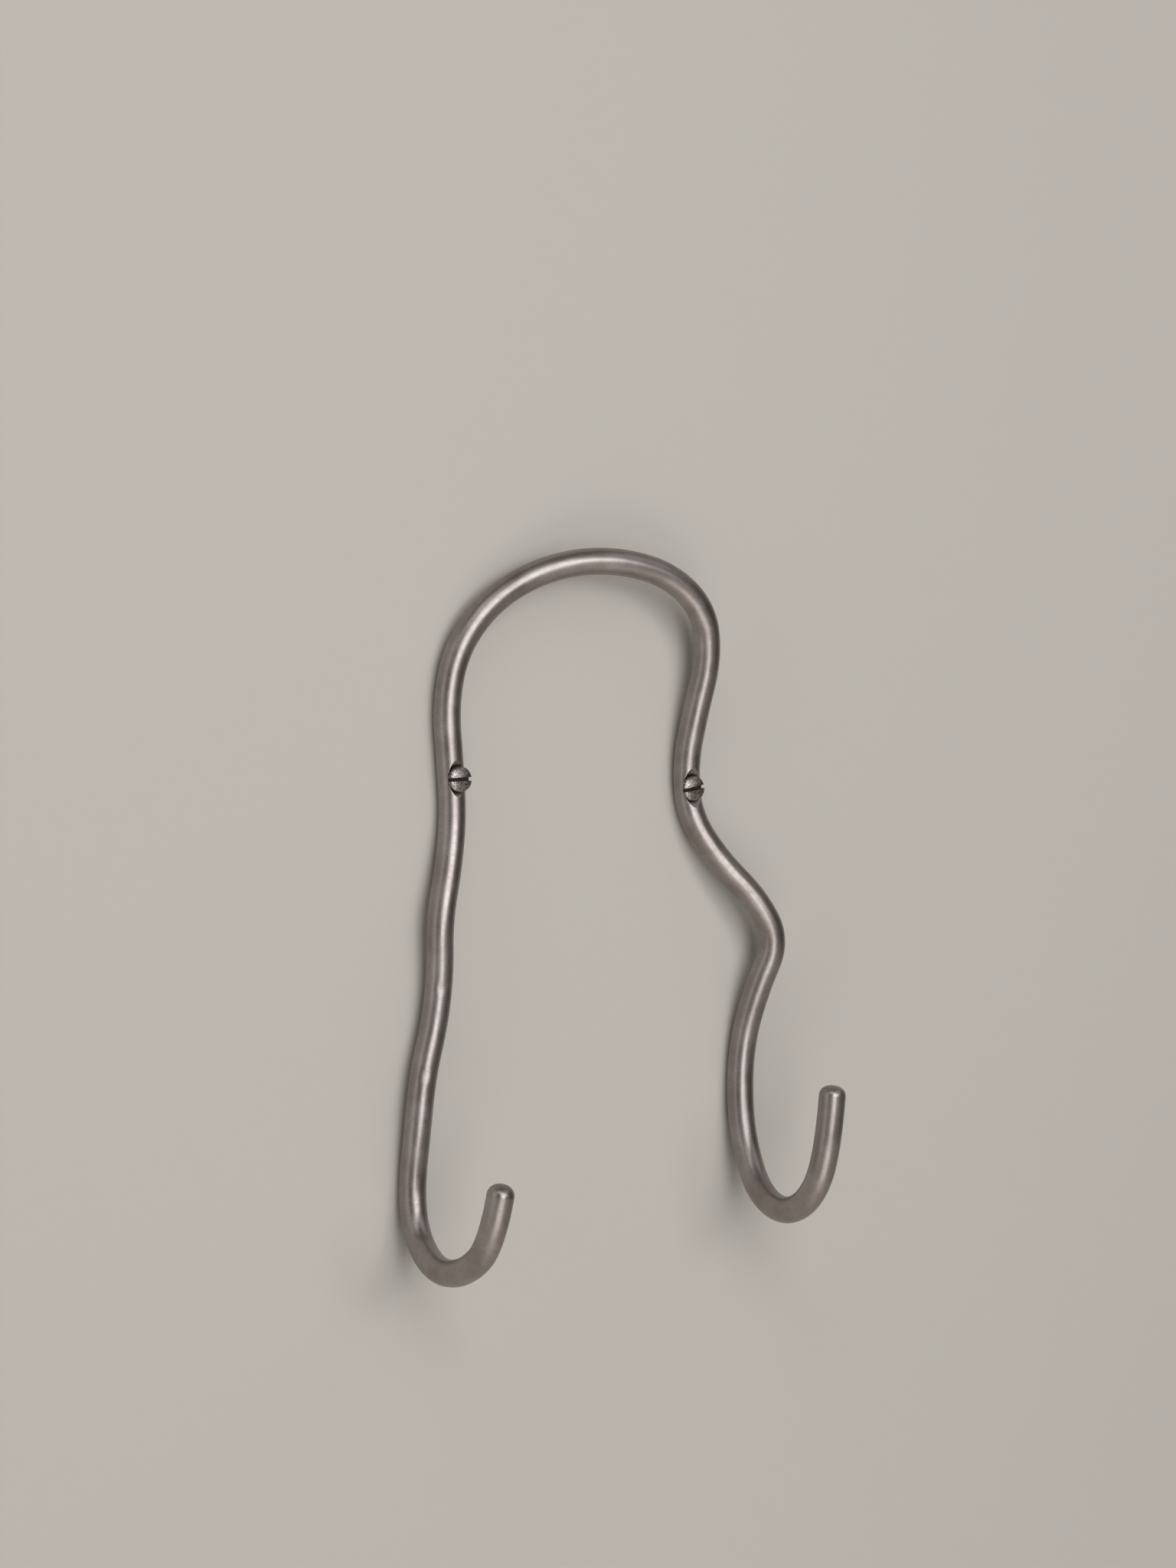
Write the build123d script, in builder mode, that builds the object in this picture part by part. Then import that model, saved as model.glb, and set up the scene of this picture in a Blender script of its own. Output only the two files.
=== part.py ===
from build123d import *
from math import radians, tan
import os

# Double wall hook: one round steel bar, bent freehand into an arch with two legs, each
# of them turned out from the wall and up again into a hook, and the two slotted screws
# that hold it.
#
# Millimetres. +Z is up. The wall is the plane Y = 0 and the room is on its -Y side. The
# origin is midway between the two screws, where the screw line crosses the wall.

# The bar, and where it is fixed.
ROD = 8.0                 # bar diameter
SCREW_SPACING = 80.0      # from one screw axis to the other, level with each other
LEFT_OVERHANG = 1.0       # the left hole is drilled this far inboard of the bar's middle

# The path of the bar. These rises, drops and reaches are to the corners that its bends
# are set out from, so the bar itself turns a little inside them.
ARCH_RISE = 67.5          # screw line up to the top of the arch
ARCH_GAP = 10.5           # wall to the back of the bar, where the arch stands out most
KNEE_STEP = 29.0          # right screw out to the knee of the right leg
KNEE_DROP = 45.5          # screw line down to the knee
KNEE_GAP = 8.0            # wall to the back of the bar at the knee
LEFT_STEP = 8.3           # left screw out to the plane of the left hook
LEFT_DROP = 143.0         # screw line down to the foot of the left hook
LEFT_REACH = 53.3         # wall to the back of the bar at the left hook's tip
LEFT_LIP = 26.0           # foot of the left hook up to its tip
RIGHT_STEP = 24.0         # right screw out to the plane of the right hook
RIGHT_DROP = 126.5        # screw line down to the foot of the right hook
RIGHT_REACH = 50.3        # wall to the back of the bar at the right hook's tip
RIGHT_LIP = 37.3          # foot of the right hook up to its tip
BEND = 12.0               # radius of the bar's middle in an ordinary bend
LEFT_DOME = 3.6           # length of the rounded end on the left
RIGHT_DOME = 3.2          # the right end is rounded flatter

# The screws: slotted, with a raised countersunk head.
SCREW = 4.0               # outside diameter of the thread
SHANK = 3.6               # smooth part under the head
THREAD_START = 0.3        # the thread starts this far inside the wall
SCREW_LENGTH = 40.0       # rim of the head to the point
POINT_LENGTH = 6.0
POINT_TIP = 0.8           # diameter left at the very tip
HEAD = 7.5                # head diameter
HEAD_ANGLE = 90.0         # cone under the head
HEAD_RIM = 0.4            # straight rim between the cone and the dome
HEAD_RISE = 1.0           # dome over the rim
HEAD_PROUD = 0.4          # rim stands this far in front of the bar
SLOT_WIDTH = 1.1
SLOT_DEPTH = 1.9
LEFT_SLOT_TURN = 5.0      # degrees that the slot's right end is up
RIGHT_SLOT_TURN = 13.0

# The pocket that each screw sits in: a wide, shallow drill point, then the screw's own
# countersink, then a clear hole.
POCKET = 10.8             # length of the pocket along the bar
POCKET_ANGLE = 130.0
POCKET_LEAD = 0.5         # the wide drill's cone is carried this far in front of the bar
HOLE_CLEARANCE = 0.4      # hole diameter over the thread's

LEFT = -SCREW_SPACING / 2
RIGHT = SCREW_SPACING / 2
LEFT_HOOK = LEFT - LEFT_STEP
RIGHT_HOOK = RIGHT + RIGHT_STEP
KNEE = RIGHT + KNEE_STEP
HEAD_SEAT = ROD + HEAD_PROUD - HEAD_RIM

# The bend table, from the left tip to the right tip: across, gap behind the bar, up, and
# the radius that the bar's middle is bent to at that corner. The bar runs straight
# between bends, and straight through both pockets. A tip has no bend.
BENDS = [
    # left hook: tip, lip, foot, and back to the wall
    (LEFT_HOOK, LEFT_REACH, LEFT_LIP - LEFT_DROP, 0.0),
    (LEFT_HOOK, LEFT_REACH - 7.8, 9.0 - LEFT_DROP, BEND),
    (LEFT_HOOK, 24.0, -LEFT_DROP, BEND),
    (LEFT_HOOK, 0.0, 9.0 - LEFT_DROP, 15.0),
    # left leg, which wanders in, out and off the wall before it meets the screw
    (LEFT - 8.0, 2.0, -90.5, BEND),
    (LEFT - 2.5, 1.5, -63.5, BEND),
    (LEFT - 4.5, 4.0, -41.0, BEND),
    (LEFT - LEFT_OVERHANG + 1.5, 0.0, -17.0, BEND),
    (LEFT - LEFT_OVERHANG - 2.5, 0.0, 28.0, BEND),
    # arch, which leans out from the wall towards its right shoulder
    (LEFT + 3.0, 1.5, ARCH_RISE - 21.0, 16.0),
    (LEFT + 20.5, 3.0, ARCH_RISE - 6.5, 16.0),
    (3.0, ARCH_GAP - 2.5, ARCH_RISE, 16.0),
    (RIGHT + 4.5, ARCH_GAP, ARCH_RISE - 7.0, 27.0),
    # right leg: through the screw, out to the knee, and in again
    (RIGHT, 0.0, 9.0, BEND),
    (RIGHT + 1.5, 0.0, -10.0, BEND),
    (KNEE - 3.5, KNEE_GAP, 8.0 - KNEE_DROP, BEND),
    (KNEE, KNEE_GAP, -KNEE_DROP, BEND),
    (RIGHT_HOOK - 1.0, 0.0, 51.5 - RIGHT_DROP, BEND),
    # right hook: off the wall, foot, lip and tip
    (RIGHT_HOOK, 1.0, 20.0 - RIGHT_DROP, BEND),
    (RIGHT_HOOK, 15.0, 3.5 - RIGHT_DROP, BEND),
    (RIGHT_HOOK, RIGHT_REACH - 5.3, -RIGHT_DROP, 21.0),
    (RIGHT_HOOK, RIGHT_REACH, RIGHT_LIP - RIGHT_DROP, 0.0),
]
corners = [Vector(across, -gap - ROD / 2, up) for across, gap, up, radius in BENDS]
radii = [radius for across, gap, up, radius in BENDS[1:-1]]

# The bar: swept along its path, domed at both ends, then drilled for the screws.
with BuildPart() as hook_rod:
    with BuildLine() as route:
        centre_line = FilletPolyline(*corners, radius=radii)
    with BuildSketch(Plane(origin=centre_line @ 0, z_dir=centre_line % 0)):
        Circle(ROD / 2)
    sweep(path=centre_line)
    for end, outward, dome in ((0, -1, LEFT_DOME), (1, 1, RIGHT_DOME)):
        tip = centre_line @ end
        along = (centre_line % end) * outward
        with BuildSketch(Plane(origin=tip, x_dir=(1, 0, 0), z_dir=Vector(1, 0, 0).cross(along))):
            with BuildLine():
                cap = TangentArc((0, dome), (ROD / 2, 0), tangent=(1, 0))
                Polyline(cap @ 1, (0, 0), cap @ 0)
            make_face()
        revolve(axis=Axis(tip, along))
    pocket_mouth = POCKET / 2 + POCKET_LEAD * tan(radians(POCKET_ANGLE / 2))
    for across in (LEFT, RIGHT):
        with Locations(Plane(origin=(across, -ROD - POCKET_LEAD, 0), z_dir=(0, -1, 0))):
            CounterSinkHole((SCREW + HOLE_CLEARANCE) / 2, pocket_mouth, 2 * ROD, POCKET_ANGLE)
        with Locations(Plane(origin=(across, -HEAD_SEAT, 0), z_dir=(0, -1, 0))):
            CounterSinkHole((SCREW + HOLE_CLEARANCE) / 2, HEAD / 2, 2 * ROD, HEAD_ANGLE)
hook_rod.part.label = "hook_rod"

os.makedirs("parts", exist_ok=True)
export_step(hook_rod.part, "parts/hook_rod.step")

# The two screws. Each is turned about its own axis, square to the wall, and then slotted.
# The threaded part is as thick as the thread's crests.
HEAD_TOP = ROD + HEAD_PROUD + HEAD_RISE
NECK = HEAD_SEAT - (HEAD - SHANK) / 2 / tan(radians(HEAD_ANGLE / 2))
TIP = ROD + HEAD_PROUD - SCREW_LENGTH
with BuildPart() as screws:
    for across, slot_turn in ((LEFT, LEFT_SLOT_TURN), (RIGHT, RIGHT_SLOT_TURN)):
        with BuildSketch(Plane(origin=(across, 0, 0), x_dir=(1, 0, 0), z_dir=(0, 0, -1))):
            with BuildLine():
                dome = TangentArc((0, HEAD_TOP), (HEAD / 2, ROD + HEAD_PROUD), tangent=(1, 0))
                Polyline(
                    dome @ 1,
                    (HEAD / 2, HEAD_SEAT),
                    (SHANK / 2, NECK),
                    (SHANK / 2, -THREAD_START),
                    (SCREW / 2, -THREAD_START),
                    (SCREW / 2, TIP + POINT_LENGTH),
                    (POINT_TIP / 2, TIP),
                    (0, TIP),
                    dome @ 0,
                )
            make_face()
        revolve(axis=Axis((across, 0, 0), (0, 1, 0)))
        with BuildSketch(Plane(origin=(across, -HEAD_TOP, 0), x_dir=(1, 0, 0), z_dir=(0, -1, 0))):
            Rectangle(2 * HEAD, SLOT_WIDTH, rotation=slot_turn)
        extrude(amount=-SLOT_DEPTH, mode=Mode.SUBTRACT)
screws.part.label = "screws"
export_step(screws.part, "parts/screws.step")
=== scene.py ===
# %% [markdown]
# # A double wall hook, dressed for a picture
#
# The object is one 8 mm steel bar, bent by hand into an arch with two legs. Each leg turns
# out from the wall and up again into a hook, and two slotted screws go through the bar into
# the wall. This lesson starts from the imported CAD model, which gives the frame that all
# stands in, and puts a better-looking bar and better-looking screws where it stands. The
# thickness of the bar and the sizes of its pockets and screws, the thread apart, are the CAD
# model's, repeated here in millimetres.

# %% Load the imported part
import math

import bpy
from mathutils import Matrix, Vector, kdtree


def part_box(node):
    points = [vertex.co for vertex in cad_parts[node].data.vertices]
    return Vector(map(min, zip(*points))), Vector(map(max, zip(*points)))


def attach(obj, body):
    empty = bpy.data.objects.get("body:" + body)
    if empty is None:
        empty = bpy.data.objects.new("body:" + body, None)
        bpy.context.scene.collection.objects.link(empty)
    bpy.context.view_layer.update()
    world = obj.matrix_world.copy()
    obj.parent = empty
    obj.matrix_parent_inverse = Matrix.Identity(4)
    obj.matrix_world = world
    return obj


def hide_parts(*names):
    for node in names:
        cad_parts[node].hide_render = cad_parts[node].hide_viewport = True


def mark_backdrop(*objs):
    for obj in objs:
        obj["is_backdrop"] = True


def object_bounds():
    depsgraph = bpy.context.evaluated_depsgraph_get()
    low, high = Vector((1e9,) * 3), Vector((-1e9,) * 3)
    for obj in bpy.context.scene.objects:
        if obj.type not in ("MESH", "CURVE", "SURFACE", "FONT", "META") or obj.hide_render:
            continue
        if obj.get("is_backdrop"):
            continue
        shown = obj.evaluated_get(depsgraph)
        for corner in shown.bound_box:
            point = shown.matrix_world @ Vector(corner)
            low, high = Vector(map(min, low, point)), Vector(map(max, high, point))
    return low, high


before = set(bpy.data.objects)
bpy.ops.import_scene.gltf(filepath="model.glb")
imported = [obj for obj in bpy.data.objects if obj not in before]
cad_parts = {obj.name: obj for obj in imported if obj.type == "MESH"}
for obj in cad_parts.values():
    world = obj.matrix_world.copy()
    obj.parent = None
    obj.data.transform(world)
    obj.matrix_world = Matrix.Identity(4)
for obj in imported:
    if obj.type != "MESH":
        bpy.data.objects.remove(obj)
cad_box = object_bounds()
MM = 0.001
print("nodes:", ", ".join(sorted(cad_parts)))
for name in sorted(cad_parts):
    low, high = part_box(name)
    print(name, "from", [round(v / MM, 1) for v in low], "to", [round(v / MM, 1) for v in high])

# %% [markdown]
# ## Small helpers
#
# An operator works on whatever is selected, so each step starts by selecting one object and
# nothing else. Inside a mesh, the faces to work on are chosen by their place or direction,
# as a person would click on them.

# %% Select one object, or some of its faces
def pick(obj):
    """Selects one object, and nothing else."""
    if bpy.context.object and bpy.context.object.mode != "OBJECT":
        bpy.ops.object.mode_set(mode="OBJECT")
    bpy.ops.object.select_all(action="DESELECT")
    obj.select_set(True)
    bpy.context.view_layer.objects.active = obj


def pick_faces(obj, wanted):
    """Selects the faces that wanted() says yes to, and goes into edit mode."""
    pick(obj)
    bpy.ops.object.mode_set(mode="EDIT")
    bpy.ops.mesh.select_mode(type="FACE")
    bpy.ops.mesh.select_all(action="DESELECT")
    bpy.ops.object.mode_set(mode="OBJECT")
    for face in obj.data.polygons:
        face.select = bool(wanted(face))
    bpy.ops.object.mode_set(mode="EDIT")


def apply_modifier(obj, kind, **settings):
    """Adds a modifier to an object, sets it and applies it."""
    pick(obj)
    modifier = obj.modifiers.new(kind.lower(), kind)
    for key, value in settings.items():
        setattr(modifier, key, value)
    bpy.ops.object.modifier_apply(modifier=modifier.name)


def cut_away(obj, cutter):
    """Cuts the cutter's shape out of an object. The cut faces take the cutter's material."""
    apply_modifier(
        obj, "BOOLEAN", object=cutter, operation="DIFFERENCE", solver="EXACT",
        material_mode="TRANSFER",
    )
    bpy.data.objects.remove(cutter, do_unlink=True)


# %% [markdown]
# ## The line of the bar
#
# A smith bends such a bar round the horn and by eye, so no part of it is a true arc, and the
# legs wander a little. It could be built from straight runs and arcs, as the CAD model is,
# but those meet with a sudden change of curvature that a highlight shows at once. A NURBS
# curve of order 3 with points this close spreads each bend over several of them, so its
# changes of curvature are smaller, and the line is drawn as one. It runs from the left tip
# round the left hook, up the left leg, over the arch, down the right leg and round the right
# hook to the right tip.
#
# The points weren't chosen by hand. A separate program fitted them by least squares to the
# bar's middle line as seen from the camera below. Their depths are those of the CAD model's
# line, and in the hooks those that the plane of each hook gives. The feet of the hooks were
# lowered by about 1.2 mm before the fit. But for the plane of the left hook, the points are
# rounded to 0.1 mm.

# %% Draw the line of the bar
ROD = 8.0
# The fitted control points, in millimetres: across, depth (the room is at -Y), and up.
ROUTE = [
    (-48.28, -57.1, -117.0), (-48.28, -53.0, -131.7), (-48.28, -38.5, -141.0),
    (-48.28, -21.4, -142.8), (-48.28, -7.9, -134.6), (-48.28, -3.3, -120.8),
    (-48.28, -5.6, -104.2), (-47.4, -6.0, -87.0), (-43.8, -5.5, -71.4),
    (-43.0, -6.2, -56.8), (-44.7, -7.8, -41.1), (-41.1, -5.4, -25.6),
    (-39.5, -3.8, -10.1), (-41.5, -4.1, 5.7), (-43.4, -3.9, 21.6),
    (-41.3, -4.7, 37.4), (-33.0, -5.9, 50.7), (-20.1, -7.0, 60.4),
    (-5.6, -10.2, 65.8), (9.9, -12.6, 66.8), (26.4, -13.2, 63.3),
    (38.8, -12.5, 53.6), (42.4, -10.2, 39.1), (40.5, -6.7, 22.8),
    (39.3, -4.0, 6.8), (41.5, -4.1, -8.4), (50.3, -7.0, -21.4),
    (62.7, -11.1, -33.4), (69.7, -11.8, -45.6), (65.6, -8.0, -59.9),
    (63.4, -4.3, -75.8), (63.1, -4.1, -92.5), (64.1, -6.7, -108.4),
    (64.0, -16.5, -122.0), (64.0, -31.3, -126.6), (64.0, -45.4, -120.5),
    (64.0, -53.0, -106.2), (64.0, -54.3, -89.2),
]
line_data = bpy.data.curves.new("bar_line", "CURVE")
line_data.dimensions = "3D"
line_data.twist_mode = "MINIMUM"
spline = line_data.splines.new("NURBS")
spline.points.add(len(ROUTE) - 1)
for point, place in zip(spline.points, ROUTE):
    point.co = Vector(place).to_4d() * MM
    point.co.w = 1.0
spline.order_u = 3
spline.use_endpoint_u = True
spline.resolution_u = 16
bar = bpy.data.objects.new("forged_bar", line_data)
bpy.context.scene.collection.objects.link(bar)

line_mesh = bpy.data.meshes.new_from_object(bar)
line = [v.co.copy() for v in line_mesh.vertices]
run = [0.0]
for a, b in zip(line, line[1:]):
    run.append(run[-1] + (b - a).length)
print("the bar's middle line is", round(run[-1] / MM), "mm long, in", len(line), "points")

# %% [markdown]
# ## The bar and its domed ends
#
# The bar is round and keeps its thickness all the way, so the curve's own bevel gives it its
# body, closed with flat ends. Both ends of the real bar are rounded. A dome is made as by
# hand: the flat end face is extruded a little and scaled in, again and again, so that its
# edge follows a quarter of an oval, which is squared off a little.

# %% Give the line its body
line_data.bevel_depth = ROD / 2 * MM
line_data.bevel_resolution = 22
line_data.use_fill_caps = True
pick(bar)
bpy.ops.object.convert(target="MESH")
bar = bpy.context.object
bar.data.materials.append(bpy.data.materials.new("mild_steel_rubbed_across"))
pick_faces(bar, lambda face: True)
bpy.ops.mesh.remove_doubles(threshold=0.002 * MM)
bpy.ops.mesh.normals_make_consistent(inside=False)
for end in (line[0], line[-1]):
    pick_faces(bar, lambda f: len(f.vertices) == 3 and (f.center - end).length < ROD / 2 * MM)
    bpy.ops.mesh.dissolve_faces()
bpy.ops.object.mode_set(mode="OBJECT")
print("bar:", len(bar.data.polygons), "faces")


# %% Dome an end by extruding it
def dome(obj, centre, outward, rise, rings, edge):
    """Domes the flat face at centre: rise is its height, and edge above 2 squares it off."""
    narrowest = 0.05
    pick_faces(
        obj, lambda f: len(f.vertices) > 8 and f.normal.dot(outward) > 0.9
        and (f.center - centre).length < 0.5 * MM,
    )
    height, width = 0.0, 1.0
    for ring in range(1, rings + 1):
        turn = math.radians(90) * ring / rings
        new_height = rise * math.sin(turn) ** (2 / edge)
        new_width = max(math.cos(turn) ** (2 / edge), narrowest)
        bpy.ops.mesh.extrude_region_move()
        step = outward * (new_height - height)
        bpy.ops.transform.translate(value=step)
        middle = centre + outward * new_height
        ratio = new_width / width
        bpy.ops.transform.resize(value=(ratio, ratio, ratio), center_override=middle)
        height, width = new_height, new_width
    bpy.ops.object.mode_set(mode="OBJECT")


LEFT_DOME, RIGHT_DOME = 3.6, 3.2
left_end = (line[0] - line[1]).normalized()
right_end = (line[-1] - line[-2]).normalized()
dome(bar, line[0], left_end, LEFT_DOME * MM, 12, edge=2.2)
dome(bar, line[-1], right_end, RIGHT_DOME * MM, 12, edge=2.2)
print("the tips point", [round(v, 2) for v in left_end], [round(v, 2) for v in right_end])

# %% [markdown]
# ## The pockets for the screws
#
# Each screw sits in a shallow pocket: a wide drill point, then the screw's own countersink,
# then a clear hole. Three cuts after one another would leave slivers where they cross, so one
# tool is made that has the outline of all three, as a step drill has. It starts as the plain
# drill, and its lowest face is extruded down and widened twice. Both tools are joined, and
# the bar is cut once.

# %% Extrude the lowest face down
def step_down(obj, fall, width):
    """Extrudes the lowest face down by fall, and scales it about the axis to a new width."""
    low = min(v.co.z for v in obj.data.vertices)
    was = max(math.hypot(v.co.x, v.co.y) for v in obj.data.vertices if v.co.z < low + 1e-6)
    pick_faces(obj, lambda f: len(f.vertices) > 8 and f.center.z < low + 1e-6)
    bpy.ops.mesh.extrude_region_move()
    bpy.ops.transform.translate(value=(0, 0, -fall * MM))
    ratio = width / 2 * MM / was
    bpy.ops.transform.resize(value=(ratio, ratio, 1), center_override=(0, 0, low - fall * MM))
    bpy.ops.object.mode_set(mode="OBJECT")


def stand_at(obj, across, depth, tilt):
    """Lays an upright piece down square to the wall, at its place on the bar."""
    pick(obj)
    obj.rotation_euler = (math.radians(tilt), 0, 0)
    obj.location = (across * MM, depth * MM, 0)
    bpy.ops.object.transform_apply(location=True, rotation=True, scale=True)


# %% Make the step drill, and drill both pockets
SCREWS = {"left": -40.0, "right": 40.0}
HEAD, HEAD_RIM, HEAD_PROUD = 7.5, 0.4, 0.4
POCKET, POCKET_ANGLE, CLEAR_HOLE = 10.8, 130.0, 4.4
POCKET_STEEP = math.tan(math.radians(POCKET_ANGLE / 2))
TOOL_LEAD, TOOL_OVERRUN = 1.0, 2.0
seat = ROD + HEAD_PROUD - HEAD_RIM
sink_start = seat - (HEAD - CLEAR_HOLE) / 2
cross = (POCKET / 2 - HEAD / 2 + seat - ROD * POCKET_STEEP) / (1 - POCKET_STEEP)
cross_width = HEAD - 2 * (seat - cross)
front = ROD + TOOL_LEAD
bpy.ops.object.select_all(action="DESELECT")
bpy.ops.mesh.primitive_cylinder_add(
    vertices=72, radius=CLEAR_HOLE / 2 * MM, depth=(sink_start + TOOL_OVERRUN) * MM,
    location=(0, 0, (TOOL_OVERRUN / 2 - sink_start / 2) * MM),
)
drill = bpy.context.object
drill.data.materials.append(bpy.data.materials.new("drilled_steel"))
bpy.ops.object.transform_apply(location=True, rotation=True, scale=True)
step_down(drill, cross - sink_start, cross_width)
step_down(drill, front - cross, POCKET + 2 * POCKET_STEEP * (front - ROD))
pick(drill)
bpy.ops.object.duplicate()
second = bpy.context.object
stand_at(drill, SCREWS["left"], 0, -90)
stand_at(second, SCREWS["right"], 0, -90)
pick(drill)
second.select_set(True)
bpy.ops.object.join()
cut_away(bar, drill)
print("the wide part of a pocket is", round(ROD - cross, 2), "mm deep")
print("the bar has", len(bar.data.polygons), "faces")

# %% [markdown]
# ## The rims of the pockets
#
# A drill leaves a sharp rim, and rubbing the bar down afterwards rounds it. A rounded rim
# catches a thin line of light round the screw, which a sharp one can't. The cut has left some
# very short edges beside the rims, which would stop a bevel short, so corners that lie close
# together are merged first. The rim is wherever a rubbed face meets a drilled one, so it is
# found by the faces' materials and bevelled.

# %% Merge the crowded corners beside the rims
FRONT = -2 * MM        # a pocket's rim lies in front of this, and the hole's far end behind
POCKET_ZONE = 8 * MM   # the corners to merge are no further than this from the screw line
BESIDE = 0.4 * MM      # how close to a rim they lie
CROWDED = 0.16 * MM    # corners closer together than this are merged
pick_faces(bar, lambda face: False)
bpy.ops.mesh.select_mode(type="VERT")
bpy.ops.object.mode_set(mode="OBJECT")
rim_points = set()
for face in bar.data.polygons:
    if face.material_index:
        rim_points.update(face.vertices)
places = [bar.data.vertices[i].co.copy() for i in rim_points if bar.data.vertices[i].co.y < FRONT]
finder = kdtree.KDTree(len(places))
for index, point in enumerate(places):
    finder.insert(point, index)
finder.balance()
for vertex in bar.data.vertices:
    if abs(vertex.co.z) < POCKET_ZONE:
        vertex.select = finder.find(vertex.co)[2] < BESIDE
bpy.ops.object.mode_set(mode="EDIT")
bpy.ops.mesh.remove_doubles(threshold=CROWDED)
bpy.ops.object.mode_set(mode="OBJECT")
print("the bar has", len(bar.data.vertices), "corners after merging")

# %% Round the rims
RIM_ROUND = 0.25 * MM
meets = {}
for face in bar.data.polygons:
    for key in face.edge_keys:
        meets.setdefault(key, set()).add(face.material_index)
pick_faces(bar, lambda face: False)
bpy.ops.mesh.select_mode(type="EDGE")
bpy.ops.object.mode_set(mode="OBJECT")
for edge in bar.data.edges:
    in_front = all(bar.data.vertices[v].co.y < FRONT for v in edge.vertices)
    edge.select = in_front and len(meets[edge.key]) > 1
print("the rims have", sum(edge.select for edge in bar.data.edges), "edges")
bpy.ops.object.mode_set(mode="EDIT")
bpy.ops.mesh.bevel(offset=RIM_ROUND, segments=3, affect="EDGES", clamp_overlap=True)
bpy.ops.object.mode_set(mode="OBJECT")

# %% [markdown]
# ## Dents
#
# The left leg has had two knocks on the side that faces the room, which left shallow flats
# with slanting scratches in them. A dent is a single corner of the mesh pushed in with
# proportional editing, which takes its neighbours along in a soft falloff, as a hammer's or
# a door's edge would. How close a corner lies to a dent is kept as an attribute called
# knocked, for the scratches.

# %% Knock two dents into the bar
# Each dent's place, depth and spread, in millimetres.
DENTS = [((-44.2, -9.9, -61.0), 0.22, 2.6), ((-48.6, -9.7, -87.0), 0.22, 2.4)]
SCRATCHED = 4.0   # the scratches fade out this far from a dent


def push_in(obj, near, depth, spread):
    """Pushes the mesh in at the corner nearest to a place, towards the bar's middle line."""
    near = Vector(near) * MM
    middle = min(line, key=lambda p: (p - near).length)
    out = (near - middle).normalized()
    aim = middle + out * ROD / 2 * MM
    corner = min(obj.data.vertices, key=lambda v: (v.co - aim).length).index
    pick_faces(obj, lambda face: False)
    bpy.ops.mesh.select_mode(type="VERT")
    bpy.ops.object.mode_set(mode="OBJECT")
    obj.data.vertices[corner].select = True
    bpy.ops.object.mode_set(mode="EDIT")
    bpy.ops.transform.translate(
        value=-out * depth * MM, use_proportional_edit=True,
        proportional_edit_falloff="SMOOTH", proportional_size=spread * MM,
    )
    bpy.ops.object.mode_set(mode="OBJECT")


for place, depth, spread in DENTS:
    push_in(bar, place, depth, spread)
knocked = bar.data.attributes.new("knocked", "FLOAT", "POINT")
for vertex in bar.data.vertices:
    nearest = min((vertex.co / MM - Vector(place)).length for place, depth, spread in DENTS)
    knocked.data[vertex.index].value = max(0.0, 1.0 - nearest / SCRATCHED)
print(len(DENTS), "dents")

# %% [markdown]
# ## The pattern that follows the bar
#
# The bar was rubbed with abrasive wrapped round it, so its scratches run round it wherever it
# bends. A pattern in plain object coordinates would ignore the bends. So each corner of the
# mesh is given its place on the bar as if the bar were straight again: how far along it lies,
# and how far to two sides. The materials read that as an attribute called lay.

# %% Lay the bar out straight
tree = kdtree.KDTree(len(line))
for index, point in enumerate(line):
    tree.insert(point, index)
tree.balance()

ways, sides = [], []
for index in range(len(line)):
    ahead = line[min(index + 1, len(line) - 1)]
    behind = line[max(index - 1, 0)]
    way = (ahead - behind).normalized()
    side = sides[-1] if sides else Vector((1, 0, 0))
    side = (side - way * side.dot(way)).normalized()
    ways.append(way)
    sides.append(side)

lay = bar.data.attributes.new("lay", "FLOAT_VECTOR", "POINT")
for vertex in bar.data.vertices:
    point, index, away = tree.find(vertex.co)
    offset = vertex.co - point
    way, side = ways[index], sides[index]
    lay.data[vertex.index].vector = (
        run[index] + offset.dot(way), offset.dot(side), offset.dot(way.cross(side)),
    )
print("the bar is laid out over", round(run[-1] / MM), "mm")

pick(bar)
bpy.ops.object.shade_smooth_by_angle(angle=math.radians(32))

# %% [markdown]
# ## A slotted wood screw
#
# It is a 4 x 40 screw with a raised countersunk head: a shallow dome over a thin rim, a 90
# degree cone, a smooth shank and a coarse thread that runs out to a gimlet point. It starts
# as a cylinder no taller than the rim. The face on top is domed with the helper that domed
# the bar, and the face below is extruded down into cone and shank.

# %% Head and shank
HEAD_RISE, SHANK, SCREW_LENGTH = 1.0, 3.6, 40.0
THREAD, CORE, PITCH, THREAD_START = 4.0, 2.8, 1.8, 0.3
SHANK_CONE = 0.6
pick(bar)
bpy.ops.object.select_all(action="DESELECT")
bpy.ops.mesh.primitive_cylinder_add(
    vertices=96, radius=HEAD / 2 * MM, depth=HEAD_RIM * MM, location=(0, 0, -HEAD_RIM / 2 * MM),
)
screw = bpy.context.object
screw.name = "slotted_screw"
screw.data.materials.append(bpy.data.materials.new("turned_steel_gone_dull"))
bpy.ops.object.transform_apply(location=True, rotation=True, scale=True)
dome(screw, Vector((0, 0, 0)), Vector((0, 0, 1)), HEAD_RISE * MM, 10, edge=2.0)

neck = (HEAD - SHANK) / 2
shank_end = ROD + HEAD_PROUD + THREAD_START
step_down(screw, neck, SHANK)
step_down(screw, shank_end - HEAD_RIM - neck, SHANK)
step_down(screw, SHANK_CONE, CORE)
print("head and shank:", len(screw.data.polygons), "faces")

# %% [markdown]
# ## The thread
#
# A thread is one small outline, the valley and the ridge of a single turn, carried round and
# down at the same time. The Screw modifier does just that. Each turn's end meets the next
# turn's start, and merging those makes one skin, which is cut square at both ends and closed.

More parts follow.
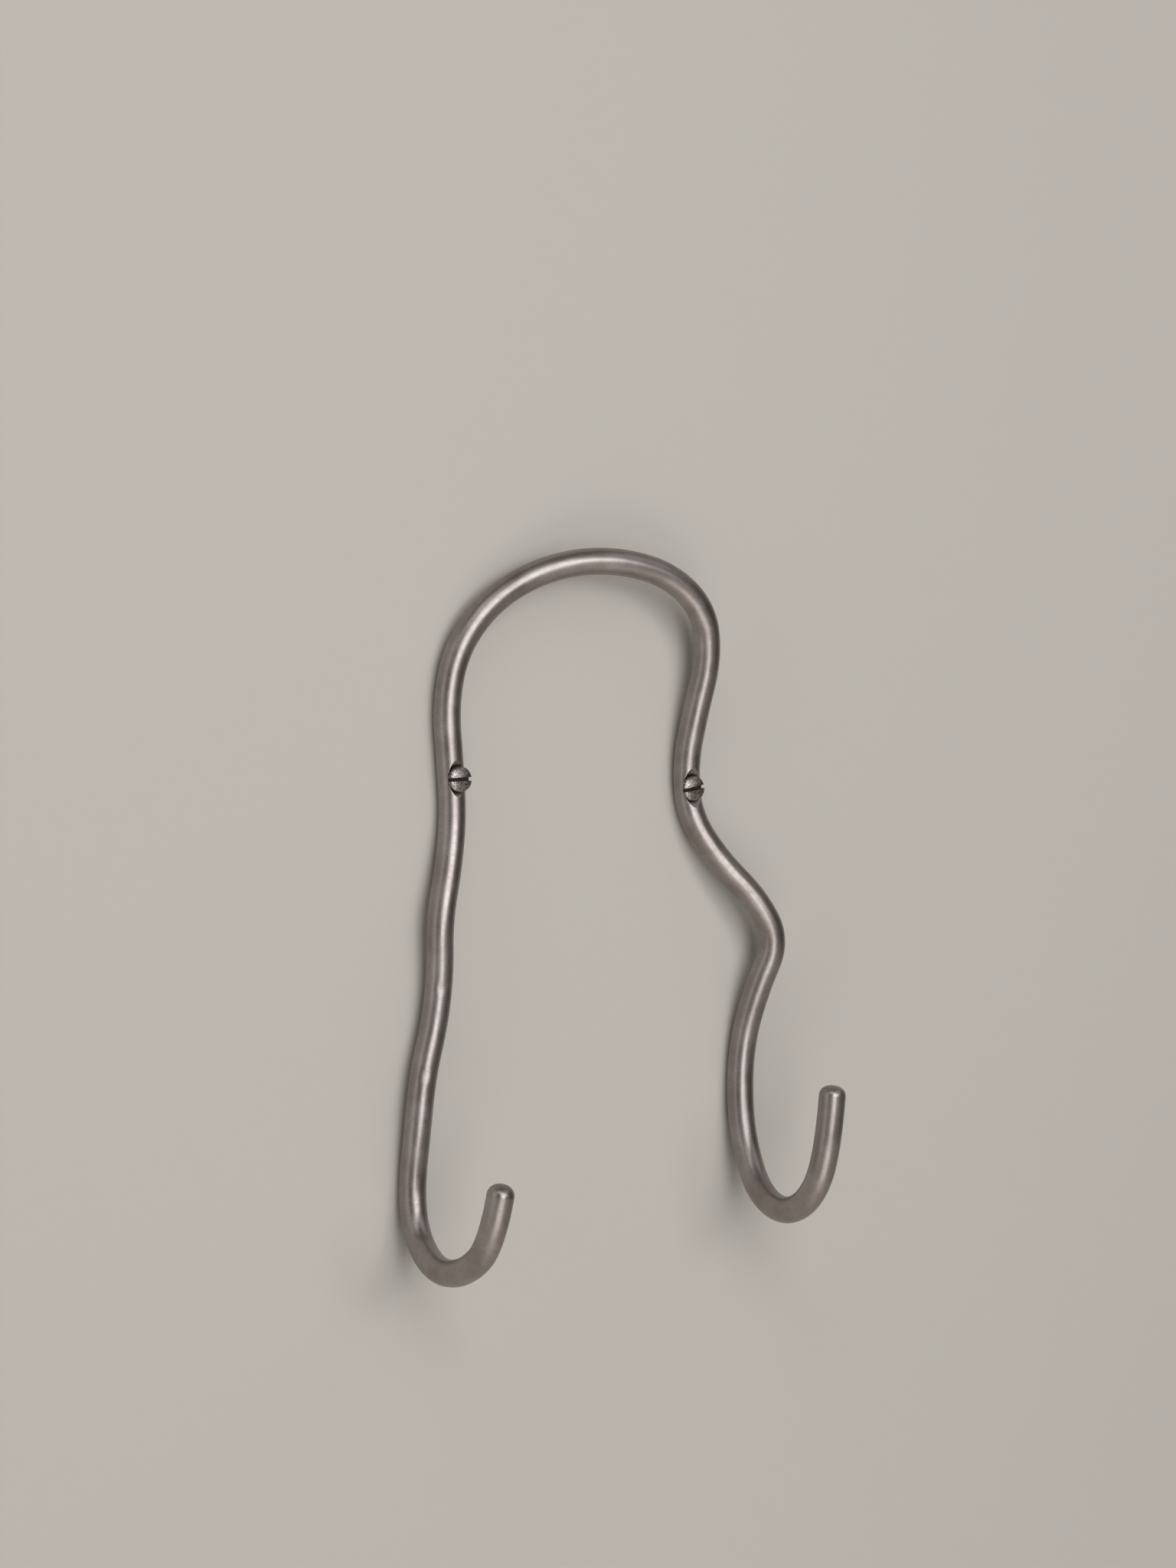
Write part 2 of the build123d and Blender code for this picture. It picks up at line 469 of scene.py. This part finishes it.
# %% Wind the thread
SPARE_TURNS = 5
turns = int((SCREW_LENGTH - shank_end) / PITCH) + SPARE_TURNS
outline = [(CORE, 0.0), (CORE, 0.50), (THREAD, 0.74), (THREAD, 0.80), (CORE, 1.0)]
thread_data = bpy.data.curves.new("thread_outline", "CURVE")
thread_data.dimensions = "3D"
thread_line = thread_data.splines.new("POLY")
thread_line.points.add(len(outline) - 1)
for point, (width, share) in zip(thread_line.points, outline):
    point.co = (width / 2 * MM, 0, ((share - SPARE_TURNS / 2) * PITCH - SCREW_LENGTH) * MM, 1)
thread = bpy.data.objects.new("thread", thread_data)
bpy.context.scene.collection.objects.link(thread)
pick(thread)
bpy.ops.object.convert(target="MESH")
thread = bpy.context.object
apply_modifier(
    thread, "SCREW", axis="Z", angle=math.radians(360), screw_offset=PITCH * MM,
    iterations=turns, steps=36, render_steps=36,
)
pick_faces(thread, lambda face: True)
bpy.ops.mesh.remove_doubles(threshold=0.01 * MM)
top_cut = -shank_end * MM
for height, up in ((top_cut, True), (-SCREW_LENGTH * MM, False)):
    bpy.ops.mesh.select_all(action="SELECT")
    bpy.ops.mesh.bisect(
        plane_co=(0, 0, height), plane_no=(0, 0, 1), use_fill=True,
        clear_outer=up, clear_inner=not up, threshold=0.0001 * MM,
    )
bpy.ops.mesh.select_all(action="SELECT")
bpy.ops.mesh.normals_make_consistent(inside=False)
bpy.ops.object.mode_set(mode="OBJECT")
print("thread:", turns, "turns,", len(thread.data.polygons), "faces")

# %% Draw the thread out to its point, and let it run out at the shank
def taper(obj, height, reach, width):
    """Scales one end in about the axis, less and less over reach."""
    pick_faces(obj, lambda face: False)
    bpy.ops.mesh.select_mode(type="VERT")
    bpy.ops.object.mode_set(mode="OBJECT")
    for vertex in obj.data.vertices:
        vertex.select = abs(vertex.co.z - height) < 0.001 * MM
    bpy.ops.object.mode_set(mode="EDIT")
    bpy.ops.transform.resize(
        value=(width, width, 1), center_override=(0, 0, height), use_proportional_edit=True,
        proportional_edit_falloff="LINEAR", proportional_size=reach * MM,
    )
    bpy.ops.object.mode_set(mode="OBJECT")


POINT_LENGTH, POINT_WIDTH = 6.0, 0.12
RUN_OUT, RUN_OUT_WIDTH = 2.5, 0.85
taper(thread, -SCREW_LENGTH * MM, POINT_LENGTH, POINT_WIDTH)
taper(thread, top_cut, RUN_OUT, RUN_OUT_WIDTH)
apply_modifier(screw, "BOOLEAN", object=thread, operation="UNION", solver="EXACT")
bpy.data.objects.remove(thread, do_unlink=True)
print("screw:", len(screw.data.polygons), "faces")

# %% [markdown]
# ## The slot, and one screw on each side
#
# The slot is sawn across the head, so a thin box is cut out of it. Both screws are the same
# screw, so each is a copy of it with a mesh of its own. Each is turned until its slot stands
# as the driver left it, laid down so that its head faces the room, and set in its pocket.
# Before that, every corner keeps its place on the upright screw as an attribute called
# turned, so that the rings of the lathe can run round the axis on both.

# %% Saw the slot and set both screws
SLOT_WIDTH, SLOT_DEPTH = 1.1, 1.9
bpy.ops.object.select_all(action="DESELECT")
bpy.ops.mesh.primitive_cube_add(
    size=1, scale=(2 * HEAD * MM, SLOT_WIDTH * MM, 2 * SLOT_DEPTH * MM),
    location=(0, 0, HEAD_RISE * MM),
)
saw = bpy.context.object
# The slot's cut faces take a dark material that is dirt and painted shade in one.
saw.data.materials.append(bpy.data.materials.new("slot_dirt_and_painted_shade"))
cut_away(screw, saw)
turned = screw.data.attributes.new("turned", "FLOAT_VECTOR", "POINT")
for vertex in screw.data.vertices:
    turned.data[vertex.index].vector = vertex.co
pick(screw)
bpy.ops.object.shade_smooth_by_angle(angle=math.radians(30))

SLOT_TURNS = {"left": 5.0, "right": 13.0}
screws = {}
for side, across in SCREWS.items():
    pick(screw)
    bpy.ops.object.duplicate()
    one = bpy.context.object
    one.name = "screw_" + side
    one.data.name = one.name
    one.rotation_euler = (0, 0, math.radians(SLOT_TURNS[side]))
    bpy.ops.object.transform_apply(location=True, rotation=True, scale=True)
    stand_at(one, across, -ROD - HEAD_PROUD, 90)
    screws[side] = one
    print(one.name, [round(v / MM, 2) for v in one.dimensions])
bpy.data.objects.remove(screw, do_unlink=True)

# %% [markdown]
# ## Tools for materials
#
# Colours are written as the hex numbers that a paint program shows, and one function turns
# them into the linear light that Blender works in. A second function adds a node, sets it
# and links it, so each material below reads as a list of what feeds what.

# %% One function for colours, one for nodes
def hue(text):
    """A hex colour as linear light."""
    parts = [int(text[i:i + 2], 16) / 255 for i in (1, 3, 5)]
    return [p / 12.92 if p <= 0.04045 else ((p + 0.055) / 1.055) ** 2.4 for p in parts] + [1.0]


def add(material, kind, inputs=None, ramp=None, **settings):
    """Adds a node. Inputs are values, or sockets to link from, and a ramp has hex colours."""
    graph = material.node_tree
    node = graph.nodes.new(kind)
    for key, value in settings.items():
        setattr(node, key, value)
    for key, value in (inputs or {}).items():
        if isinstance(value, bpy.types.NodeSocket):
            graph.links.new(value, node.inputs[key])
        else:
            node.inputs[key].default_value = value
    if ramp:
        stops = node.color_ramp.elements
        while len(stops) < len(ramp):
            stops.new(0.5)
        for stop, (place, colour) in zip(stops, ramp):
            stop.position = place
            stop.color = hue(colour)
    return node


def new_material(name):
    """The material of that name with a plain Principled shader, and that shader."""
    material = bpy.data.materials.get(name) or bpy.data.materials.new(name)
    material.use_nodes = True
    return material, material.node_tree.nodes["Principled BSDF"]


# %% [markdown]
# ## Mild steel, rubbed across with abrasive
#
# Hot-rolled round bar is grey-brown with scale. Emery cloth pulled round it takes the scale
# off and leaves a satin, warm grey steel. Its fine scratches run round the bar: some patches
# of a scratch are smooth and mirror the light sharply, others are torn and scatter it, which
# gives a clear highlight with ragged edges on top of an even, soft grey. The scratches are
# taken to be about 0.05 mm wide, too fine to show, so they are drawn 0.25 mm wide. In the
# two dents the scratches slant and are deeper.

# %% Material of the bar
satin_steel, shader = new_material("mild_steel_rubbed_across")
SCRATCH = 1 / (0.25 * MM)
AROUND = 1 / (1.8 * MM)
PATCH = 1 / (9.0 * MM)
place = add(satin_steel, "ShaderNodeAttribute", attribute_name="lay").outputs["Vector"]
across_bar = add(
    satin_steel, "ShaderNodeMapping", {"Vector": place, "Scale": (SCRATCH, AROUND, AROUND)},
).outputs["Vector"]
fine = add(
    satin_steel, "ShaderNodeTexNoise",
    {"Vector": across_bar, "Scale": 1.0, "Detail": 3.0, "Roughness": 0.6},
)
torn = add(
    satin_steel, "ShaderNodeTexNoise",
    {"Vector": across_bar, "Scale": 0.7, "Detail": 2.0, "Distortion": 0.4},
)
patches = add(
    satin_steel, "ShaderNodeTexNoise",
    {"Vector": place, "Scale": PATCH, "Detail": 5.0, "Roughness": 0.6},
)
slanting = add(
    satin_steel, "ShaderNodeMapping",
    {"Vector": place, "Rotation": (0, 0.5, 0.6), "Scale": (SCRATCH, 0.3 * AROUND, 0.3 * AROUND)},
)
scores = add(
    satin_steel, "ShaderNodeTexNoise",
    {"Vector": slanting.outputs["Vector"], "Scale": 0.8, "Detail": 2.0},
)
near_dent = add(satin_steel, "ShaderNodeAttribute", attribute_name="knocked").outputs["Fac"]
height = add(
    satin_steel, "ShaderNodeMix", {0: near_dent, 2: fine.outputs["Fac"], 3: scores.outputs["Fac"]},
)
colour = add(
    satin_steel, "ShaderNodeValToRGB", {"Fac": fine.outputs["Fac"]},
    ramp=[(0.3, "#97908E"), (0.7, "#A69F9C")],
)
shade = add(
    satin_steel, "ShaderNodeValToRGB", {"Fac": patches.outputs["Fac"]},
    ramp=[(0.35, "#E6E1DE"), (0.65, "#FFFFFF")],
)
mixed = add(
    satin_steel, "ShaderNodeMix", {0: 1.0, 6: colour.outputs["Color"], 7: shade.outputs["Color"]},
    data_type="RGBA", blend_type="MULTIPLY",
)
rough = add(
    satin_steel, "ShaderNodeMapRange",
    {"Value": torn.outputs["Fac"], "From Min": 0.3, "From Max": 0.7, "To Min": 0.25, "To Max": 0.37},
)
worn = add(
    satin_steel, "ShaderNodeMath", {0: patches.outputs["Fac"], 1: 0.12, 2: rough.outputs["Result"]},
    operation="MULTIPLY_ADD",
)
relief = add(
    satin_steel, "ShaderNodeBump",
    {"Height": height.outputs[0], "Distance": 0.04 * MM},
)
deep = add(satin_steel, "ShaderNodeMath", {0: near_dent, 1: 0.9, 2: 0.055}, operation="MULTIPLY_ADD")
links = satin_steel.node_tree.links
links.new(deep.outputs[0], relief.inputs["Strength"])
links.new(mixed.outputs[2], shader.inputs["Base Color"])
links.new(worn.outputs[0], shader.inputs["Roughness"])
links.new(relief.outputs["Normal"], shader.inputs["Normal"])
shader.inputs["Metallic"].default_value = 1.0
print("scratches", round(1 / SCRATCH / MM, 2), "mm wide and", round(1 / AROUND / MM, 1), "mm long")

# %% [markdown]
# ## Drilled steel, inside the pockets
#
# The pockets were cut clean through the satin surface and never rubbed down, so they are
# smoother than the bar, and blotchy where old cutting oil has dried.

# %% Material of the pockets
BLOTCH = 0.6 * MM
drilled, shader = new_material("drilled_steel")
where = add(drilled, "ShaderNodeTexCoord").outputs["Object"]
spot = add(drilled, "ShaderNodeTexNoise", {"Vector": where, "Scale": 1 / BLOTCH, "Detail": 4.0})
colour = add(
    drilled, "ShaderNodeValToRGB", {"Fac": spot.outputs["Fac"]},
    ramp=[(0.35, "#79726E"), (0.65, "#9C948E")],
)
drilled.node_tree.links.new(colour.outputs["Color"], shader.inputs["Base Color"])
shader.inputs["Metallic"].default_value = 1.0
shader.inputs["Roughness"].default_value = 0.3
print("oil blotches", round(BLOTCH / MM, 2), "mm across")

# %% [markdown]
# ## Bright steel screws, gone dull
#
# The screws were turned on a lathe and have dulled since. What shows is mostly that wear: a
# grain of dark pits and bright specks, about 0.45 mm across. The rings that the lathe left
# round the axis, drawn as far apart, are only a faint trace under it.

# %% Material of the screws
SPECK, CLOUD, RING = 0.45 * MM, 2.0 * MM, 0.45 * MM
WAVE_RINGS = math.pi / 10   # the distance between a Wave texture's rings at a scale of 1
dull_steel, shader = new_material("turned_steel_gone_dull")
where = add(dull_steel, "ShaderNodeAttribute", attribute_name="turned").outputs["Vector"]
grain = add(
    dull_steel, "ShaderNodeTexNoise",
    {"Vector": where, "Scale": 1 / SPECK, "Detail": 5.0, "Roughness": 0.75},
)
clouds = add(dull_steel, "ShaderNodeTexNoise", {"Vector": where, "Scale": 1 / CLOUD, "Detail": 3.0})
rings = add(
    dull_steel, "ShaderNodeTexWave",
    {"Vector": where, "Scale": WAVE_RINGS / RING, "Distortion": 3.0, "Detail": 2.0},
    wave_type="RINGS", rings_direction="Z",
)
marks = add(dull_steel, "ShaderNodeMix", {0: 0.07, 2: grain.outputs["Fac"], 3: rings.outputs["Fac"]})
colour = add(
    dull_steel, "ShaderNodeValToRGB", {"Fac": marks.outputs[0]},
    ramp=[(0.36, "#3A3431"), (0.52, "#8A827E"), (0.67, "#E0D8D3")],
)
rough = add(
    dull_steel, "ShaderNodeMapRange",
    {"Value": clouds.outputs["Fac"], "From Min": 0.3, "From Max": 0.7, "To Min": 0.26, "To Max": 0.42},
)
relief = add(
    dull_steel, "ShaderNodeBump",
    {"Height": marks.outputs[0], "Strength": 0.6, "Distance": 0.06 * MM},
)
links = dull_steel.node_tree.links
links.new(colour.outputs["Color"], shader.inputs["Base Color"])
links.new(rough.outputs["Result"], shader.inputs["Roughness"])
links.new(relief.outputs["Normal"], shader.inputs["Normal"])
shader.inputs["Metallic"].default_value = 1.0
print("specks", round(SPECK / MM, 2), "mm across, and rings", round(RING / MM, 2), "mm apart")

# %% [markdown]
# ## Dirt and painted shade in the slots
#
# Wax, rust and dust have packed into the sawn slots, and little light gets down into them.
# The slots are painted as a dull brown-black crust, no longer metal to look at, which stands
# for that dirt and for painted shade together.

# %% Material of the slots
CRUMB = 0.5 * MM
slot_dirt_and_shade, shader = new_material("slot_dirt_and_painted_shade")
where = add(slot_dirt_and_shade, "ShaderNodeTexCoord").outputs["Object"]
crumbs = add(slot_dirt_and_shade, "ShaderNodeTexNoise", {"Vector": where, "Scale": 1 / CRUMB, "Detail": 3.0})
# Dark brown-black: dirt, and painted shade for the depth of the slot.
colour = add(
    slot_dirt_and_shade, "ShaderNodeValToRGB", {"Fac": crumbs.outputs["Fac"]},
    ramp=[(0.4, "#211B17"), (0.7, "#4B433D")],
)
slot_dirt_and_shade.node_tree.links.new(colour.outputs["Color"], shader.inputs["Base Color"])
shader.inputs["Metallic"].default_value = 0.6
shader.inputs["Roughness"].default_value = 0.55
print("crumbs of dirt", round(CRUMB / MM, 2), "mm across")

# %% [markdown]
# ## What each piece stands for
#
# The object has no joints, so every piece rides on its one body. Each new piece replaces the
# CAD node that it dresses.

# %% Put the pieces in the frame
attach(bar, "root")
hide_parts("hook_rod")
for one in screws.values():
    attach(one, "root")
    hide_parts("screws")
print("pieces:", bar.name, *[one.name for one in screws.values()])

# %% [markdown]
# ## Wall and floor
#
# A wall hook makes sense only on a wall: it hides the screws' shanks and catches the soft
# shadow. But a real wall would hide the object from behind, where it has to be seen too. So
# the wall is a single face that is plain matt paint on its room side and clear on its back.
# The floor lies well below, where the lamps hardly reach it, so it is given a glow that shows
# only to the camera, in mirrors and through clear glass.

# %% Paint the wall and the floor
ROLLER = 4 * MM
FLOOR_DROP = 1.2


def matt_paint(name, colour, one_sided=False, glow=0.0):
    """Matt emulsion: no gloss, only its colour with a faint roller texture.

    Glow makes it look paler to the camera and in mirrors, and lights nothing.
    """
    paint, principled = new_material(name)
    object_place = add(paint, "ShaderNodeTexCoord").outputs["Object"]
    roller = add(
        paint, "ShaderNodeTexNoise", {"Vector": object_place, "Scale": 1 / ROLLER, "Detail": 3.0},
    )
    bump = add(
        paint, "ShaderNodeBump",
        {"Height": roller.outputs["Fac"], "Strength": 0.08, "Distance": 0.2 * MM},
    )
    principled.inputs["Base Color"].default_value = hue(colour)
    principled.inputs["Roughness"].default_value = 0.9
    principled.inputs["Specular IOR Level"].default_value = 0.1
    paint.node_tree.links.new(bump.outputs["Normal"], principled.inputs["Normal"])
    if glow:
        path = add(paint, "ShaderNodeLightPath").outputs
        seen = add(paint, "ShaderNodeMath", {0: path["Is Camera Ray"], 1: path["Is Glossy Ray"]})
        seen = add(paint, "ShaderNodeMath", {0: seen.outputs[0], 1: path["Is Transmission Ray"]})
        seen = add(paint, "ShaderNodeMath", {0: seen.outputs[0], 1: glow}, operation="MULTIPLY")
        principled.inputs["Emission Color"].default_value = hue(colour)
        paint.node_tree.links.new(seen.outputs[0], principled.inputs["Emission Strength"])
    if one_sided:
        back = add(paint, "ShaderNodeNewGeometry").outputs["Backfacing"]
        clear = add(paint, "ShaderNodeBsdfTransparent")
        both = add(
            paint, "ShaderNodeMixShader", {0: back, 1: principled.outputs[0], 2: clear.outputs[0]},
        )
        out = paint.node_tree.nodes["Material Output"]
        paint.node_tree.links.new(both.outputs[0], out.inputs["Surface"])
    return paint


bpy.ops.object.select_all(action="DESELECT")
bpy.ops.mesh.primitive_plane_add(size=8, location=(0, 0, 2), rotation=(math.radians(90), 0, 0))
wall = bpy.context.object
wall.name = "wall"
wall.data.materials.append(matt_paint("matt_wall_paint", "#C4BFB9", one_sided=True))
bpy.ops.object.select_all(action="DESELECT")
bpy.ops.mesh.primitive_plane_add(size=8, location=(0, 0, -FLOOR_DROP))
floor = bpy.context.object
floor.name = "floor"
floor.data.materials.append(matt_paint("matt_floor_paint", "#C0BBB3", glow=0.6))
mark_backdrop(wall, floor)
print("the floor lies", FLOOR_DROP, "m below the screws")

# %% [markdown]
# ## Light
#
# Round metal shows the room rather than its own colour, so the light is planned from what the
# bar will mirror. A tall soft box in front of the wall, a little to the left, draws the long
# highlight and does most of the lighting. A small one up on the right throws the soft shadow
# to the left, and stands too high to be mirrored in the upright legs. The rest are weak
# screens, there to be mirrored: one below in front in the undersides of the hooks, one by the
# wall in the left side of the legs, and one high on either side in the arch's shoulders.
# Beyond them the room is dim, which gives the dark right edge that makes the bar look round.
# Together they light the matt wall to about nine tenths of its written colour. Behind the
# wall hangs one more box, which the wall keeps off the room side. It lights the screws'
# threads and the floor there.

# %% Hang the soft boxes
LIT_POINT = Vector((0, 0, -0.03))


def soft_box(name, position, size, radiance):
    """A rectangular lamp that faces the object. Radiance 1 looks as bright as lit white paper."""
    bpy.ops.object.select_all(action="DESELECT")
    bpy.ops.object.light_add(type="AREA", location=position)
    lamp = bpy.context.object
    lamp.name = name
    lamp.data.shape = "RECTANGLE"
    lamp.data.size, lamp.data.size_y = size
    lamp.data.energy = radiance * math.pi * size[0] * size[1]
    towards = LIT_POINT - Vector(position)
    lamp.rotation_euler = towards.to_track_quat("-Z", "Y").to_euler()
    print(name, "is", round(towards.length, 2), "m away and takes", round(lamp.data.energy, 1), "W")


soft_box("front_box", (-0.22, -1.5, 0.22), (0.7, 1.8), 3.4)
soft_box("key_box", (0.3, -1.4, 0.35), (0.46, 0.46), 4.6)
soft_box("low_screen", (-0.2, -1.1, -0.95), (0.9, 0.6), 1.7)
soft_box("left_screen", (-1.25, -0.3, 0.1), (0.65, 1.6), 0.75)
soft_box("high_screen", (-0.9, -1.0, 1.3), (0.8, 0.8), 1.5)
soft_box("right_screen", (0.8, -0.72, 1.15), (0.9, 0.9), 0.6)
soft_box("back_box", (0.5, 1.4, 0.9), (1.2, 1.2), 2.5)
world = bpy.data.worlds.new("dim_room")
bpy.context.scene.world = world
world.use_nodes = True
world.node_tree.nodes["Background"].inputs["Color"].default_value = hue("#5F5B57")
world.node_tree.nodes["Background"].inputs["Strength"].default_value = 1.0

# %% [markdown]
# ## Camera
#
# The camera looks from 30 degrees to the left of straight ahead, level with the screws, with
# a long lens, and is rolled by two degrees, as a camera held in the hand is.

# %% Set up the camera
bpy.ops.object.select_all(action="DESELECT")
bpy.ops.object.camera_add()
camera = bpy.context.object
CAMERA_PLACE = Vector((-637.15, -1117.39, 0.1)) * MM
turn, roll = math.radians(30), math.radians(2.22)
forward = Vector((math.sin(turn), math.cos(turn), 0))
level = Vector((math.cos(turn), -math.sin(turn), 0))
up = Vector((0, 0, 1))
right = level * math.cos(roll) + up * math.sin(roll)
above = up * math.cos(roll) - level * math.sin(roll)
facing = Matrix((right, above, -forward)).transposed().to_4x4()
camera.matrix_world = Matrix.Translation(CAMERA_PLACE) @ facing
camera.data.lens = 98.83
camera.data.sensor_width = 36
camera.data.clip_start = 0.01
camera.data.clip_end = 50
bpy.context.scene.camera = camera
bpy.context.scene.view_settings.view_transform = "Standard"
print("the camera is", round(CAMERA_PLACE.length, 2), "m away")

# %% [markdown]
# ## The two boxes
#
# The CAD model's box and the dressed object's box are both printed, in millimetres.

# %% Print both boxes
new_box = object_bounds()
boxes = {
    "cad": [list(corner) for corner in cad_box],
    "visual": [list(corner) for corner in new_box],
}
for name, (low, high) in boxes.items():
    print(name, [round(v / MM, 2) for v in low], [round(v / MM, 2) for v in high])
